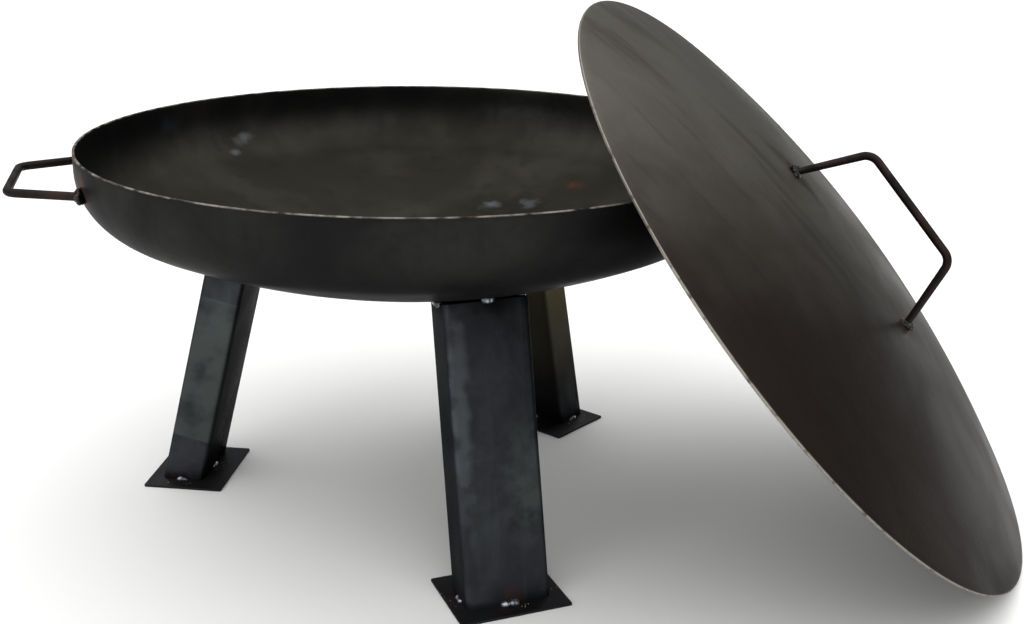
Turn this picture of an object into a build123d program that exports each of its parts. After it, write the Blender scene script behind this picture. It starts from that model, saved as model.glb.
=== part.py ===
"""A welded steel fire bowl on three splayed legs, with its domed lid taken off and leaned against the rim.

Millimetres and degrees, +Z up, floor at Z = 0. The origin lies on the floor, midway along and across the whole
object, and +X runs along its length, from the left handle towards the lid.
"""

from build123d import *
import math
import os

os.makedirs("parts", exist_ok=True)

# ---------------------------------------------------------------- driving dimensions

# Bowl: a pressed dished end, with a spherical crown, a rounded knuckle and a short upright rim
bowl_radius = 400.0  # outside
bowl_wall = 3.0
bowl_crown_radius = 832.5  # outside
bowl_knuckle_radius = 76.0  # outside
bowl_rim_upright = 21.0
rim_height = 461.0  # top of the rim above the floor
rim_edge_round = 0.9

# Legs: rectangular box section, leaning outwards towards the floor, each as it was set up and tacked
leg_width = 98.0  # across the leg, round the bowl
leg_depth = 52.8  # towards the bowl's axis
leg_wall = 3.0
leg_corner = 7.0
leg_top_gap = 0.2
leg_azimuth = {"front": -70.0, "left": 171.2, "right": 51.4}
leg_splay = {"front": 13.5, "left": 13.75, "right": 14.4}
leg_floor_radius = {"front": 302.3, "left": 301.5, "right": 298.8}

# Foot plates: thin flat plates under the legs, each laid a little off its leg's middle
plate_width = 129.0  # round the bowl
plate_depth = 102.2  # towards the bowl's axis
plate_thickness = 3.0
plate_corner = 1.0
plate_inset = {"front": 2.8, "left": 7.4, "right": 12.4}
plate_slip = {"front": 0.3, "left": 6.7, "right": -10.0}
plate_twist = {"front": 0.0, "left": 0.5, "right": -3.6}

# Handles: round bar bent to three sides
bar_radius = 5.0
bar_bend_radius = 18.0  # of the bar's centreline
bowl_handle_azimuth = {"left": 191.8, "right": 11.8}
bowl_handle_drop = 35.3  # of the bar's centreline below the rim
bowl_handle_root_width = 206.4
bowl_handle_grip_width = 137.0
bowl_handle_reach = 68.0  # from the bowl's wall to the grip's centreline
lid_handle_foot_width = 220.8
lid_handle_grip_width = 152.4
lid_handle_rise = 81.6  # from the dome's top to the grip's centreline
lid_handle_turn = -9.15  # about the lid's axis, from the line up its slope
lid_handle_shift = -17.5  # off the lid's middle

# Lid: a shallow spherical dome
lid_radius = 414.0
lid_dome_height = 57.5
lid_wall = 3.0
lid_edge_round = 0.6

# How the lid leans: its outer face looks up and along lean_azimuth, tilted lean_tilt from straight up
lean_azimuth = -20.4
lean_tilt = 48.7
lean_side_shift = 87.0  # of the lid's middle, square to the way it leans
lean_clearance = 0.3
rim_search_half_angle = 60  # of the stretch of rim that the lid may rest on

# Weld beads
tack_radius = 5.0
top_tack_length = 8.0  # between the round ends
foot_tack_length = 14.0
root_weld_radius = 8.5
root_weld_height = 6.0
root_weld_sink = 6.0  # how far a weld's cone starts inside the sheet that it stands on

# ---------------------------------------------------------------- worked-out places

leg_names = list(leg_azimuth)
leg_hollow_corner = max(leg_corner - leg_wall, leg_wall / 3)
handle_names = list(bowl_handle_azimuth)
bowl_handle_height = rim_height - bowl_handle_drop


def horizontal(azimuth):
    """The level unit vector that points along an azimuth."""
    return Vector(math.cos(math.radians(azimuth)), math.sin(math.radians(azimuth)), 0)


# The bowl's section: centres of its knuckle and crown arcs, and the angle at which they meet
knuckle_height = rim_height - bowl_rim_upright
knuckle_centre_radius = bowl_radius - bowl_knuckle_radius
crown_to_knuckle = bowl_crown_radius - bowl_knuckle_radius
crown_height = knuckle_height + math.sqrt(crown_to_knuckle**2 - knuckle_centre_radius**2)
crown_angle = math.degrees(math.asin(knuckle_centre_radius / crown_to_knuckle))

# The lid's sphere and the directions of its frame
lid_sphere_radius = (lid_radius**2 + lid_dome_height**2) / (2 * lid_dome_height)
lid_sphere_drop = lid_sphere_radius - lid_dome_height  # from the rim's plane down to the sphere's centre
lid_edge_angle = math.asin(lid_radius / lid_sphere_radius)
tilt = math.radians(lean_tilt)
lean_way = horizontal(lean_azimuth)
lean_side = horizontal(lean_azimuth + 90)
lid_axis = lean_way * math.sin(tilt) + Vector(0, 0, math.cos(tilt))
lid_upslope = Vector(0, 0, math.sin(tilt)) - lean_way * math.cos(tilt)

# The lid's lowest corner, outer or inner, stands on the floor
outer_corner_drop = lid_radius * math.sin(tilt)
inner_corner_radius = (lid_sphere_radius - lid_wall) * math.sin(lid_edge_angle)
inner_corner_drop = inner_corner_radius * math.sin(tilt) + lid_wall * math.cos(lid_edge_angle) * math.cos(tilt)
lid_centre_height = max(outer_corner_drop, inner_corner_drop)


def bowl_handle_corners(azimuth, inward=0.0):
    """A bowl handle's centreline corners, about the bowl's axis, with its ends carried inward past the wall."""
    out, across = horizontal(azimuth), horizontal(azimuth + 90)
    up = Vector(0, 0, bowl_handle_height)
    root_radius = math.sqrt(bowl_radius**2 - (bowl_handle_root_width / 2) ** 2)
    grip_radius = bowl_radius + bowl_handle_reach
    corners = []
    for side in (1, -1):
        root = up + out * root_radius + across * (side * bowl_handle_root_width / 2)
        grip = up + out * grip_radius + across * (side * bowl_handle_grip_width / 2)
        corners.append((root - (grip - root).normalized() * inward, grip))
    return [corners[0][0], corners[0][1], corners[1][1], corners[1][0]]


def lid_obstacles():
    """Points that the lid may rest on, about the bowl's axis, each with its own radius."""
    points = []
    rim_round = Vector(0, 0, rim_height - rim_edge_round)
    for step in range(-rim_search_half_angle, rim_search_half_angle + 1):
        on_rim = horizontal(lean_azimuth + step) * (bowl_radius - rim_edge_round)
        points.append((on_rim + rim_round, rim_edge_round))
    bar = FilletPolyline(*bowl_handle_corners(bowl_handle_azimuth["right"]), radius=bar_bend_radius)
    steps = round(bar.length / bar_radius)
    for i in range(steps + 1):
        points.append((bar @ (i / steps), bar_radius))
    return points


def lid_distance():
    """How far out the lid's middle is, along the way it leans, when its inside comes to rest."""
    base = lean_side * lean_side_shift + Vector(0, 0, lid_centre_height)
    furthest = 0.0
    for point, radius in lid_obstacles():
        offset = point - (base - lid_axis * lid_sphere_drop)
        along = offset.dot(lean_way)
        reach = lid_sphere_radius - lid_wall - radius - lean_clearance
        square = along**2 - offset.dot(offset) + reach**2
        if square < 0:
            continue
        distance = along - math.sqrt(square)
        arm = point - (base + lean_way * distance)
        off_axis = (arm - lid_axis * arm.dot(lid_axis)).length
        if off_axis < lid_radius:
            furthest = max(furthest, distance)
    return furthest


lid_from_bowl = lean_way * lid_distance() + lean_side * lean_side_shift + Vector(0, 0, lid_centre_height)

# The bowl's axis is placed so that the whole object is centred on the origin
lid_reach_x = lid_radius * math.sqrt(1 - lid_axis.X**2)
lid_reach_y = lid_radius * math.sqrt(1 - lid_axis.Y**2)
left_way = horizontal(bowl_handle_azimuth["left"])
left_reach = bowl_radius + bowl_handle_reach + bar_radius
left_end = left_way.X * left_reach - abs(left_way.Y) * bowl_handle_grip_width / 2
right_end = lid_from_bowl.X + lid_reach_x
near_end = min(-bowl_radius, lid_from_bowl.Y - lid_reach_y)
far_end = max(bowl_radius, lid_from_bowl.Y + lid_reach_y)
bowl_axis = Vector(-(left_end + right_end) / 2, -(near_end + far_end) / 2, 0)
lid_centre = bowl_axis + lid_from_bowl
crown_centre = bowl_axis + Vector(0, 0, crown_height)
lid_sphere_centre = lid_centre - lid_axis * lid_sphere_drop


def leg_plane(name):
    """A leg's frame: origin where its centreline meets the floor, Z up the leg and X away from the bowl."""
    out = horizontal(leg_azimuth[name])
    splay = math.radians(leg_splay[name])
    foot = bowl_axis + out * leg_floor_radius[name]
    outward = out * math.cos(splay) + Vector(0, 0, math.sin(splay))
    up_leg = Vector(0, 0, math.cos(splay)) - out * math.sin(splay)
    return Plane(origin=foot, x_dir=outward, z_dir=up_leg)


def clamp(value, low, high):
    return min(max(value, low), high)


def leg_length(name):
    """From the floor up a leg's centreline to its square-cut top, whose nearest wall just reaches the bowl."""
    centre = leg_plane(name).to_local_coords(crown_centre)
    half_depth, half_width = leg_depth / 2, leg_width / 2
    inner_wall = centre.X - clamp(centre.X, -half_depth, -half_depth + leg_wall)
    outer_wall = centre.X - clamp(centre.X, half_depth - leg_wall, half_depth)
    beside = centre.X - clamp(centre.X, -half_depth, half_depth)
    side_wall = math.hypot(beside, half_width - leg_wall)
    nearest = min(abs(inner_wall), abs(outer_wall), side_wall)
    return centre.Z - math.sqrt((bowl_crown_radius + leg_top_gap) ** 2 - nearest**2)


def tack_bead(length):
    """A round-ended bead along the Z axis, with its middle at the origin."""
    with BuildPart() as bead:
        with BuildSketch(Plane.XZ):
            SlotCenterToCenter(length, 2 * tack_radius, rotation=90)
            split(bisect_by=Plane.YZ)
        revolve(axis=Axis.Z)
    return bead.part


# ---------------------------------------------------------------- bowl


def bowl_arc_point(centre_radius, centre_height, arc_radius, angle):
    """A point of the bowl's section, on an arc, at an angle from straight down."""
    turn = math.radians(angle)
    return (centre_radius + arc_radius * math.sin(turn), centre_height - arc_radius * math.cos(turn))


def bowl_side(inset):
    """The bowl's section from its middle to the rim, set in from the outside by inset."""
    crown = [bowl_arc_point(0, crown_height, bowl_crown_radius - inset, a) for a in (0, crown_angle / 2, crown_angle)]
    bends = (crown_angle, (crown_angle + 90) / 2, 90)
    knuckle = [
        bowl_arc_point(knuckle_centre_radius, knuckle_height, bowl_knuckle_radius - inset, a) for a in bends
    ]
    return crown, knuckle, (bowl_radius - inset, rim_height)


bowl_section = Plane(origin=bowl_axis, x_dir=(1, 0, 0), z_dir=(0, -1, 0))
with BuildPart() as bowl:
    with BuildSketch(bowl_section):
        with BuildLine():
            outer_crown, outer_knuckle, outer_rim = bowl_side(0)
            inner_crown, inner_knuckle, inner_rim = bowl_side(bowl_wall)
            ThreePointArc(*outer_crown)
            ThreePointArc(*outer_knuckle)
            Line(outer_knuckle[-1], outer_rim)
            Line(outer_rim, inner_rim)
            Line(inner_rim, inner_knuckle[-1])
            ThreePointArc(*reversed(inner_knuckle))
            ThreePointArc(*reversed(inner_crown))
            Line(inner_crown[0], outer_crown[0])
        make_face()
    revolve(axis=Axis(bowl_axis, (0, 0, 1)))
    fillet(bowl.edges().group_by(Axis.Z)[-1], radius=min(rim_edge_round, bowl_wall * 0.45))
bowl.part.label = "bowl"
export_step(bowl.part, "parts/bowl.step")

# The bowl's outside, filled in, which cuts what is welded to it
with BuildPart() as bowl_core:
    with BuildSketch(bowl_section):
        with BuildLine():
            ThreePointArc(*outer_crown)
            ThreePointArc(*outer_knuckle)
            Line(outer_knuckle[-1], outer_rim)
            Line(outer_rim, (0, rim_height))
            Line((0, rim_height), outer_crown[0])
        make_face()
    revolve(axis=Axis(bowl_axis, (0, 0, 1)))

# ---------------------------------------------------------------- legs, foot plates and their welds

top_bead = tack_bead(top_tack_length)
foot_bead = tack_bead(foot_tack_length)
for name in leg_names:
    plane = leg_plane(name)
    length = leg_length(name)
    below_floor = leg_depth  # a leg is drawn from below the floor, then cut level with its plate
    with BuildSketch(plane.offset(-below_floor)) as leg_outline:
        RectangleRounded(leg_depth, leg_width, leg_corner)
    with BuildSketch(plane.offset(-below_floor)) as leg_hollow:
        RectangleRounded(leg_depth - 2 * leg_wall, leg_width - 2 * leg_wall, leg_hollow_corner)

    with BuildPart() as leg:
        extrude(leg_outline.sketch, amount=below_floor + length)
        extrude(leg_hollow.sketch, amount=below_floor + length, mode=Mode.SUBTRACT)
        split(bisect_by=Plane.XY.offset(plate_thickness), keep=Keep.TOP)
    leg.part.label = f"leg_{name}"
    export_step(leg.part, f"parts/leg_{name}.step")

    out = horizontal(leg_azimuth[name])
    across = horizontal(leg_azimuth[name] + 90)
    plate_middle = bowl_axis + out * (leg_floor_radius[name] - plate_inset[name]) + across * plate_slip[name]
    plate_out = horizontal(leg_azimuth[name] + plate_twist[name])
    with BuildPart() as foot_plate:
        with BuildSketch(Plane(origin=plate_middle, x_dir=plate_out, z_dir=(0, 0, 1))):
            Rectangle(plate_depth, plate_width)
        extrude(amount=plate_thickness)
        fillet(foot_plate.edges().filter_by(Axis.Z), radius=plate_corner)
    foot_plate.part.label = f"foot_plate_{name}"
    export_step(foot_plate.part, f"parts/foot_plate_{name}.step")

    # Tacks at the top: on the outer face and on both sides, in the gap below the bowl
    half_depth, half_width = leg_depth / 2, leg_width / 2
    outer_top = plane.from_local_coords(Vector(half_depth, 0, length))
    side_tops = [plane.from_local_coords(Vector(0, side * half_width, length)) for side in (-1, 1)]
    top_places = [Plane(origin=outer_top, x_dir=plane.x_dir, z_dir=plane.y_dir).location]
    for side_top in side_tops:
        top_places.append(Plane(origin=side_top, x_dir=plane.y_dir, z_dir=plane.x_dir).location)
    with BuildPart() as leg_welds:
        with Locations(*top_places):
            add(top_bead)
        extrude(leg_outline.sketch, amount=2 * below_floor + length, mode=Mode.SUBTRACT)
        with Locations(crown_centre):
            Sphere(bowl_crown_radius, mode=Mode.SUBTRACT)
    leg_welds.part.label = f"leg_welds_{name}"
    export_step(leg_welds.part, f"parts/leg_welds_{name}.step")

    # Tacks at the foot: in the middle of the outer and inner edges and of both sides
    splay = math.radians(leg_splay[name])
    foot_middle = bowl_axis + out * (leg_floor_radius[name] - plate_thickness * math.tan(splay))
    foot_middle = foot_middle + Vector(0, 0, plate_thickness)
    half_cut = half_depth / math.cos(splay)
    foot_places = []
    for side in (-1, 1):
        edge = foot_middle + out * (side * half_cut)
        foot_places.append(Plane(origin=edge, x_dir=out, z_dir=across).location)
        edge = foot_middle + across * (side * half_width)
        foot_places.append(Plane(origin=edge, x_dir=across, z_dir=out).location)
    with BuildPart() as foot_welds:
        with Locations(*foot_places):
            add(foot_bead)
        extrude(leg_outline.sketch, amount=below_floor + length, mode=Mode.SUBTRACT)
        split(bisect_by=Plane.XY.offset(plate_thickness), keep=Keep.TOP)
    foot_welds.part.label = f"foot_welds_{name}"
    export_step(foot_welds.part, f"parts/foot_welds_{name}.step")

# ---------------------------------------------------------------- bowl handles and their welds

for name in handle_names:
    azimuth = bowl_handle_azimuth[name]
    corners = [bowl_axis + corner for corner in bowl_handle_corners(azimuth, inward=2 * bar_radius)]
    with BuildPart() as bowl_handle:
        with BuildLine() as bar_line:
            FilletPolyline(*corners, radius=bar_bend_radius)
        with BuildSketch(Plane(origin=bar_line.line @ 0, z_dir=bar_line.line % 0)):
            Circle(bar_radius)
        sweep()
        add(bowl_core.part, mode=Mode.SUBTRACT)
    bowl_handle.part.label = f"bowl_handle_{name}"
    export_step(bowl_handle.part, f"parts/bowl_handle_{name}.step")

    roots = [bowl_axis + corner for corner in bowl_handle_corners(azimuth)]
    weld_places = []
    for root, grip in ((roots[0], roots[1]), (roots[3], roots[2])):
        along = (grip - root).normalized()
        weld_places.append(Plane(origin=root - along * root_weld_sink, z_dir=along).location)
    with BuildPart() as bowl_handle_welds:
        with Locations(*weld_places):
            Cone(
                root_weld_radius,
                bar_radius,
                root_weld_sink + root_weld_height,
                align=(Align.CENTER, Align.CENTER, Align.MIN),
            )
        add(bowl_handle.part, mode=Mode.SUBTRACT)
        add(bowl_core.part, mode=Mode.SUBTRACT)
    bowl_handle_welds.part.label = f"bowl_handle_welds_{name}"
    export_step(bowl_handle_welds.part, f"parts/bowl_handle_welds_{name}.step")

# ---------------------------------------------------------------- lid, its handle and their welds


def lid_arc_point(arc_radius, angle):
    """A point of the lid's section, on an arc about its sphere's centre, at an angle from the lid's axis."""
    return (arc_radius * math.sin(angle), arc_radius * math.cos(angle) - lid_sphere_drop)


lid_section = Plane(origin=lid_centre, x_dir=lid_upslope, z_dir=lid_upslope.cross(lid_axis))
lid_angles = (0, lid_edge_angle / 2, lid_edge_angle)
with BuildPart() as lid:
    with BuildSketch(lid_section):
        with BuildLine():
            lid_outer = [lid_arc_point(lid_sphere_radius, a) for a in lid_angles]
            lid_inner = [lid_arc_point(lid_sphere_radius - lid_wall, a) for a in lid_angles]
            ThreePointArc(*lid_outer)
            Line(lid_outer[-1], lid_inner[-1])
            ThreePointArc(*reversed(lid_inner))
            Line(lid_inner[0], lid_outer[0])
        make_face()
    revolve(axis=Axis(lid_centre, lid_axis))
    fillet(lid.edges().filter_by(GeomType.CIRCLE), radius=min(lid_edge_round, lid_wall * 0.3))
lid.part.label = "lid"
export_step(lid.part, "parts/lid.step")

lid_cross = lid_axis.cross(lid_upslope)
turn = math.radians(lid_handle_turn)
handle_along = lid_upslope * math.cos(turn) + lid_cross * math.sin(turn)
handle_across = lid_axis.cross(handle_along)
handle_plane = Plane(
    origin=lid_centre + handle_across * lid_handle_shift,
    x_dir=handle_along,
    z_dir=handle_along.cross(lid_axis),
)
foot_off_axis = math.hypot(lid_handle_foot_width / 2, lid_handle_shift)
foot_height = math.sqrt(lid_sphere_radius**2 - foot_off_axis**2) - lid_sphere_drop
grip_height = lid_dome_height + lid_handle_rise
foot_point = Vector(lid_handle_foot_width / 2, foot_height)
grip_point = Vector(lid_handle_grip_width / 2, grip_height)
arm_way = (grip_point - foot_point).normalized()
sunk_foot = foot_point - arm_way * (2 * bar_radius)
with BuildPart() as lid_handle:
    with BuildLine(handle_plane) as grip_line:
        FilletPolyline(
            (sunk_foot.X, sunk_foot.Y),
            (grip_point.X, grip_point.Y),
            (-grip_point.X, grip_point.Y),
            (-sunk_foot.X, sunk_foot.Y),
            radius=bar_bend_radius,
        )
    with BuildSketch(Plane(origin=grip_line.line @ 0, z_dir=grip_line.line % 0)):
        Circle(bar_radius)
    sweep()
    with Locations(lid_sphere_centre):
        Sphere(lid_sphere_radius, mode=Mode.SUBTRACT)
lid_handle.part.label = "lid_handle"
export_step(lid_handle.part, "parts/lid_handle.step")

foot_places = []
for side in (1, -1):
    foot = handle_plane.from_local_coords(Vector(side * foot_point.X, foot_point.Y, 0))
    grip = handle_plane.from_local_coords(Vector(side * grip_point.X, grip_point.Y, 0))
    along = (grip - foot).normalized()
    foot_places.append(Plane(origin=foot - along * root_weld_sink, z_dir=along).location)
with BuildPart() as lid_handle_welds:
    with Locations(*foot_places):
        Cone(
            root_weld_radius,
            bar_radius,
            root_weld_sink + root_weld_height,
            align=(Align.CENTER, Align.CENTER, Align.MIN),
        )
    add(lid_handle.part, mode=Mode.SUBTRACT)
    with Locations(lid_sphere_centre):
        Sphere(lid_sphere_radius, mode=Mode.SUBTRACT)
lid_handle_welds.part.label = "lid_handle_welds"
export_step(lid_handle_welds.part, "parts/lid_handle_welds.step")

print("bowl axis", bowl_axis)
print("lid centre", lid_centre)
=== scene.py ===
"""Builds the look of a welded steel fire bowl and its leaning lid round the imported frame.

Every piece is modelled at its real size and place. Lengths are in metres and angles in radians.
"""

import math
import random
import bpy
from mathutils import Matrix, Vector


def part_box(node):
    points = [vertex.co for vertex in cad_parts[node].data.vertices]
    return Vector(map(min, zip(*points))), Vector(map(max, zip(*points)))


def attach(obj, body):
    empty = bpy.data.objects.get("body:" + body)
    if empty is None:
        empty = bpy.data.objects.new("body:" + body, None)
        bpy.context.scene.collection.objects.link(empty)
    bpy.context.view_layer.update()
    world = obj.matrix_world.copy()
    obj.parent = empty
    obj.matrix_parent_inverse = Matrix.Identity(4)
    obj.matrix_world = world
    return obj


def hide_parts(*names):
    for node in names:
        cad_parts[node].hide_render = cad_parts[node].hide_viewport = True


bl_info = {
    "name": "Steel Fire Bowl",
    "version": (1, 0, 0),
    "blender": (4, 5, 0),
    "location": "3D View > Sidebar > Fire Bowl",
    "description": "Builds a welded steel fire bowl on three legs, with a domed lid leaning on its rim",
    "category": "Add Mesh",
}

import bmesh
import bpy
from bpy.props import FloatProperty, FloatVectorProperty, IntProperty, PointerProperty
from mathutils import Matrix, Vector

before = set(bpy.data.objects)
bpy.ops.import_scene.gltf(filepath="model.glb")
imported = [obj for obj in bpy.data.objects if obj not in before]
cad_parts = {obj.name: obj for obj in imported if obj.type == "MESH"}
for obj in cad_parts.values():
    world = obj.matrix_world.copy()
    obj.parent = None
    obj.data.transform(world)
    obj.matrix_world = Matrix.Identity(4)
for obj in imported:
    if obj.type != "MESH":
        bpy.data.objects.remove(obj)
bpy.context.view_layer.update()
BOWL_LOW, BOWL_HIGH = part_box("bowl")
LID_LOW, LID_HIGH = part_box("lid")
MM = 0.001


def linear(hex_colour):
    """An sRGB hex colour as linear red, green, blue and alpha."""
    channels = [int(hex_colour[i : i + 2], 16) / 255 for i in (1, 3, 5)]
    return [c / 12.92 if c <= 0.04045 else ((c + 0.055) / 1.055) ** 2.4 for c in channels] + [1.0]


def length_of(text, millimetres):
    """A length property, given in millimetres."""
    return FloatProperty(description=text, default=millimetres * MM, unit="LENGTH", precision=5)


def angle_of(text, degrees):
    """An angle property, given in degrees."""
    return FloatProperty(description=text, default=math.radians(degrees), subtype="ANGLE")


def colour_of(text, hex_colour):
    """A colour property, given as an sRGB hex colour."""
    return FloatVectorProperty(description=text, subtype="COLOR", size=4, default=linear(hex_colour))


# ---- sizes and colours


class FireBowlSizes(bpy.types.PropertyGroup):
    """Sizes of the bowl, the lid, the legs and the bars"""

    sheet: length_of("Wall of the bowl and the lid", 3.0)
    crown_radius: length_of("Outside radius of the bowl's crown", 832.5)
    knuckle_radius: length_of("Outside radius of the bowl's knuckle", 76.0)
    rim_upright: length_of("Straight wall above the knuckle", 21.0)
    rim_round: length_of("Rounding of the bowl's rim edges", 0.9)
    sheet_wave: length_of("How far the pressed sheet strays from a true surface", 0.5)
    lid_radius: length_of("Outside radius of the lid", 414.0)
    lid_dome: length_of("Rise of the lid's dome over its rim", 57.5)
    lid_edge_round: length_of("Rounding of the lid's cut edge", 0.6)
    lean_azimuth: angle_of("Level direction that the lid's outside faces", -20.4)
    lean_tilt: angle_of("Angle between the lid's axis and straight up", 48.7)
    leg_width: length_of("Box section across the leg", 98.0)
    leg_depth: length_of("Box section towards the bowl's axis", 52.8)
    leg_wall: length_of("Wall of the box section", 3.0)
    leg_corner: length_of("Outside corner radius of the box section", 7.0)
    leg_cut_round: length_of("Wear on the leg's cut edges", 0.4)
    leg_top_gap: length_of("Between a leg's top and the bowl", 0.2)
    plate_width: length_of("Foot plate round the bowl", 129.0)
    plate_depth: length_of("Foot plate towards the bowl's axis", 102.2)
    plate_thickness: length_of("Foot plate thickness", 3.0)
    plate_corner: length_of("Corner radius of the foot plates", 1.5)
    plate_edge: length_of("Rounding of the plates' sheared edges", 0.35)
    bar_radius: length_of("Radius of the handles' round bar", 5.0)
    bar_bend: length_of("Bend radius of the bar's centreline", 18.0)
    bowl_handle_drop: length_of("Bar centreline below the rim", 35.3)
    bowl_handle_roots: length_of("Distance between the roots", 206.4)
    bowl_handle_grip: length_of("Distance between the grip's corners", 137.0)
    bowl_handle_reach: length_of("From the wall to the grip's centreline", 68.0)
    lid_handle_feet: length_of("Distance between the feet", 220.8)
    lid_handle_grip: length_of("Distance between the grip's corners", 152.4)
    lid_handle_rise: length_of("From the dome's top to the grip's centreline", 81.6)
    lid_handle_turn: angle_of("Turn about the lid's axis from the upslope line", -9.15)
    lid_handle_shift: length_of("Shift off the lid's middle", -17.5)
    tack_radius: length_of("Half the width of a tack weld", 4.6)
    top_tack: length_of("Length of a tack at a leg's top", 16.0)
    foot_tack: length_of("Length of a tack at a leg's foot", 23.0)
    weld_sink: length_of("How far weld metal and bar ends go into the sheet", 1.5)
    bead_voxel: length_of("Fineness of the weld beads' mesh", 0.4)
    spatter: IntProperty(description="Droplets beside each foot tack", default=5)


class FireBowlColours(bpy.types.PropertyGroup):
    """Colours of the steel's scale, tints and bare metal"""

    scale_black: colour_of("Darkest mill scale", "#1b1b1b")
    scale_grey: colour_of("Grey mill scale of the bowl's outside", "#2b2b2a")
    scale_olive: colour_of("Warm tone of the bowl's inside", "#2a2821")
    lid_grey: colour_of("Worn warm grey of the lid", "#524f48")
    # Also painted shade: the dark band down the lid's near side
    lid_brown: colour_of("Brown tone of the lid's lower part", "#1b1310")
    leg_dark: colour_of("Darker blue-grey scale of the box section", "#2a2b2e")
    leg_blue: colour_of("Blue-grey scale of the box section", "#3d4045")
    leg_light: colour_of("Lighter bands of the box section", "#474c4b")
    leg_olive: colour_of("Browner scale of the box section", "#56513f")
    bar_brown: colour_of("Brown-black scale of the round bar", "#382b28")
    bare_steel: colour_of("Ground and worn edges", "#8f8a82")
    scuffed: colour_of("Grey left where the scale is scuffed", "#605d57")
    rust: colour_of("Thin rust on bare edges", "#54392d")
    weld_silver: colour_of("Fresh weld metal", "#b4b6bc")
    weld_grey: colour_of("Duller weld metal", "#4f5052")
    # Also painted shade on the legs' faces towards the bowl's axis, and the painted shadow of the lid's
    # handle
    soot: colour_of("Welding smoke beside the beads", "#060606")
    tint_blue: colour_of("Heat tint near a weld", "#2e3a44")
    tint_brown: colour_of("Heat tint further from a weld", "#5a3325")
    # Also painted highlight: the front leg's left corner and the back-left knuckle inside the bowl
    burn_mark_and_highlight: colour_of("Pale scale on the far side of a weld", "#62666a")
    bright_sheen: colour_of("Light that smooth scale throws back at a glance", "#bababa")
    dull_sheen: colour_of("Light that rough scale throws back at a glance", "#707070")
    floor: colour_of("Pale studio floor", "#f7f7f6")


# How each leg was set up and tacked: azimuth and splay in degrees, floor radius in millimetres, then how
# far its plate is set in and slipped round in millimetres, and twisted in degrees
LEG_SETTINGS = {
    "front": (-70.0, 13.5, 302.3, 2.8, 0.3, 0.0),
    "left": (171.2, 13.75, 301.5, 7.4, 6.7, 0.5),
    "right": (51.4, 14.4, 298.8, 12.4, -10.0, -3.6),
}
BOWL_HANDLE_AZIMUTHS = {"left": 191.8, "right": 11.8}
# Marks on the bowl's inside, in millimetres from its axis and the floor, with their reach and colour; the
# first two are a painted highlight on the back-left knuckle
INSIDE_MARKS_AND_HIGHLIGHT = (
    # Painted highlight on the back-left knuckle, in two smudges
    ((-255, 289, 401), 24, "burn_mark_and_highlight"),
    ((-262, 262, 385), 12, "burn_mark_and_highlight"),
    ((-340, 204, 437), 30, "leg_blue"),
    ((-214, 30, 322), 16, "tint_brown"),
    ((216, 210, 352), 20, "tint_brown"),
)
# Painted shadow of the lid's handle, as dark marks on the lid's outside, in millimetres from its middle,
# up its slope and to its near side, with their length and width
LID_HANDLE_SHADOW = (
    (50, -61, 26, 8),
    (2, -6, 30, 7),
    (-43, -24, 18, 6),
    (-62, -64, 20, 6),
    (-154, -110, 26, 8),
    (-203, -19, 24, 7),
    (-309, 87, 30, 8),
    (-327, 149, 14, 7),
)
# How finely each shape is divided
ROUND_STEPS = 192
BAR_SIDES = 28
BEND_STEPS = 10
# Corners sharper than the first are rounded, and corners flatter than the second are shaded smooth
SHARP_CORNER = math.radians(50)
SMOOTH_CORNER = math.radians(35)
MERGE_REACH = 0.01 * MM


def sizes():
    return bpy.context.scene.fire_bowl_sizes


def colours():
    return bpy.context.scene.fire_bowl_colours


# ---- places, worked out from the frame


def level(azimuth):
    """The level unit vector that points along an azimuth in radians."""
    return Vector((math.cos(azimuth), math.sin(azimuth), 0))


def frame_matrix(origin, x_way, z_way):
    """A place with its X and Z axes along two square directions."""
    x_way, z_way = x_way.normalized(), z_way.normalized()
    turn = Matrix((x_way, z_way.cross(x_way), z_way)).transposed()
    return Matrix.Translation(origin) @ turn.to_4x4()


def bowl_place():
    """The bowl's axis on the floor, its outside radius and its rim's height."""
    middle = (BOWL_LOW + BOWL_HIGH) / 2
    return Vector((middle.x, middle.y, 0)), (BOWL_HIGH.x - BOWL_LOW.x) / 2, BOWL_HIGH.z


def bowl_crown_centre():
    """The centre of the crown's sphere, over the bowl's axis."""
    s = sizes()
    axis, radius, rim = bowl_place()
    across = radius - s.knuckle_radius
    slant = s.crown_radius - s.knuckle_radius
    return axis + Vector((0, 0, rim - s.rim_upright + math.sqrt(slant**2 - across**2)))


def off_bowl(point):
    """How far a point is outside the bowl's outer surface, and the way out."""
    s = sizes()
    axis, radius, rim = bowl_place()
    crown = bowl_crown_centre()
    out = Vector((point.x - axis.x, point.y - axis.y, 0))
    reach = out.length
    out.normalize()
    up = Vector((0, 0, 1))
    knuckle = radius - s.knuckle_radius
    over, across = point.z - (rim - s.rim_upright), reach - knuckle
    if over >= 0:
        return reach - radius, out
    crown_angle = math.asin(knuckle / (s.crown_radius - s.knuckle_radius))
    if math.atan2(across, -over) > crown_angle:
        arm = out * across + up * over
        return arm.length - s.knuckle_radius, arm.normalized()
    arm = point - crown
    return arm.length - s.crown_radius, arm.normalized()


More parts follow.
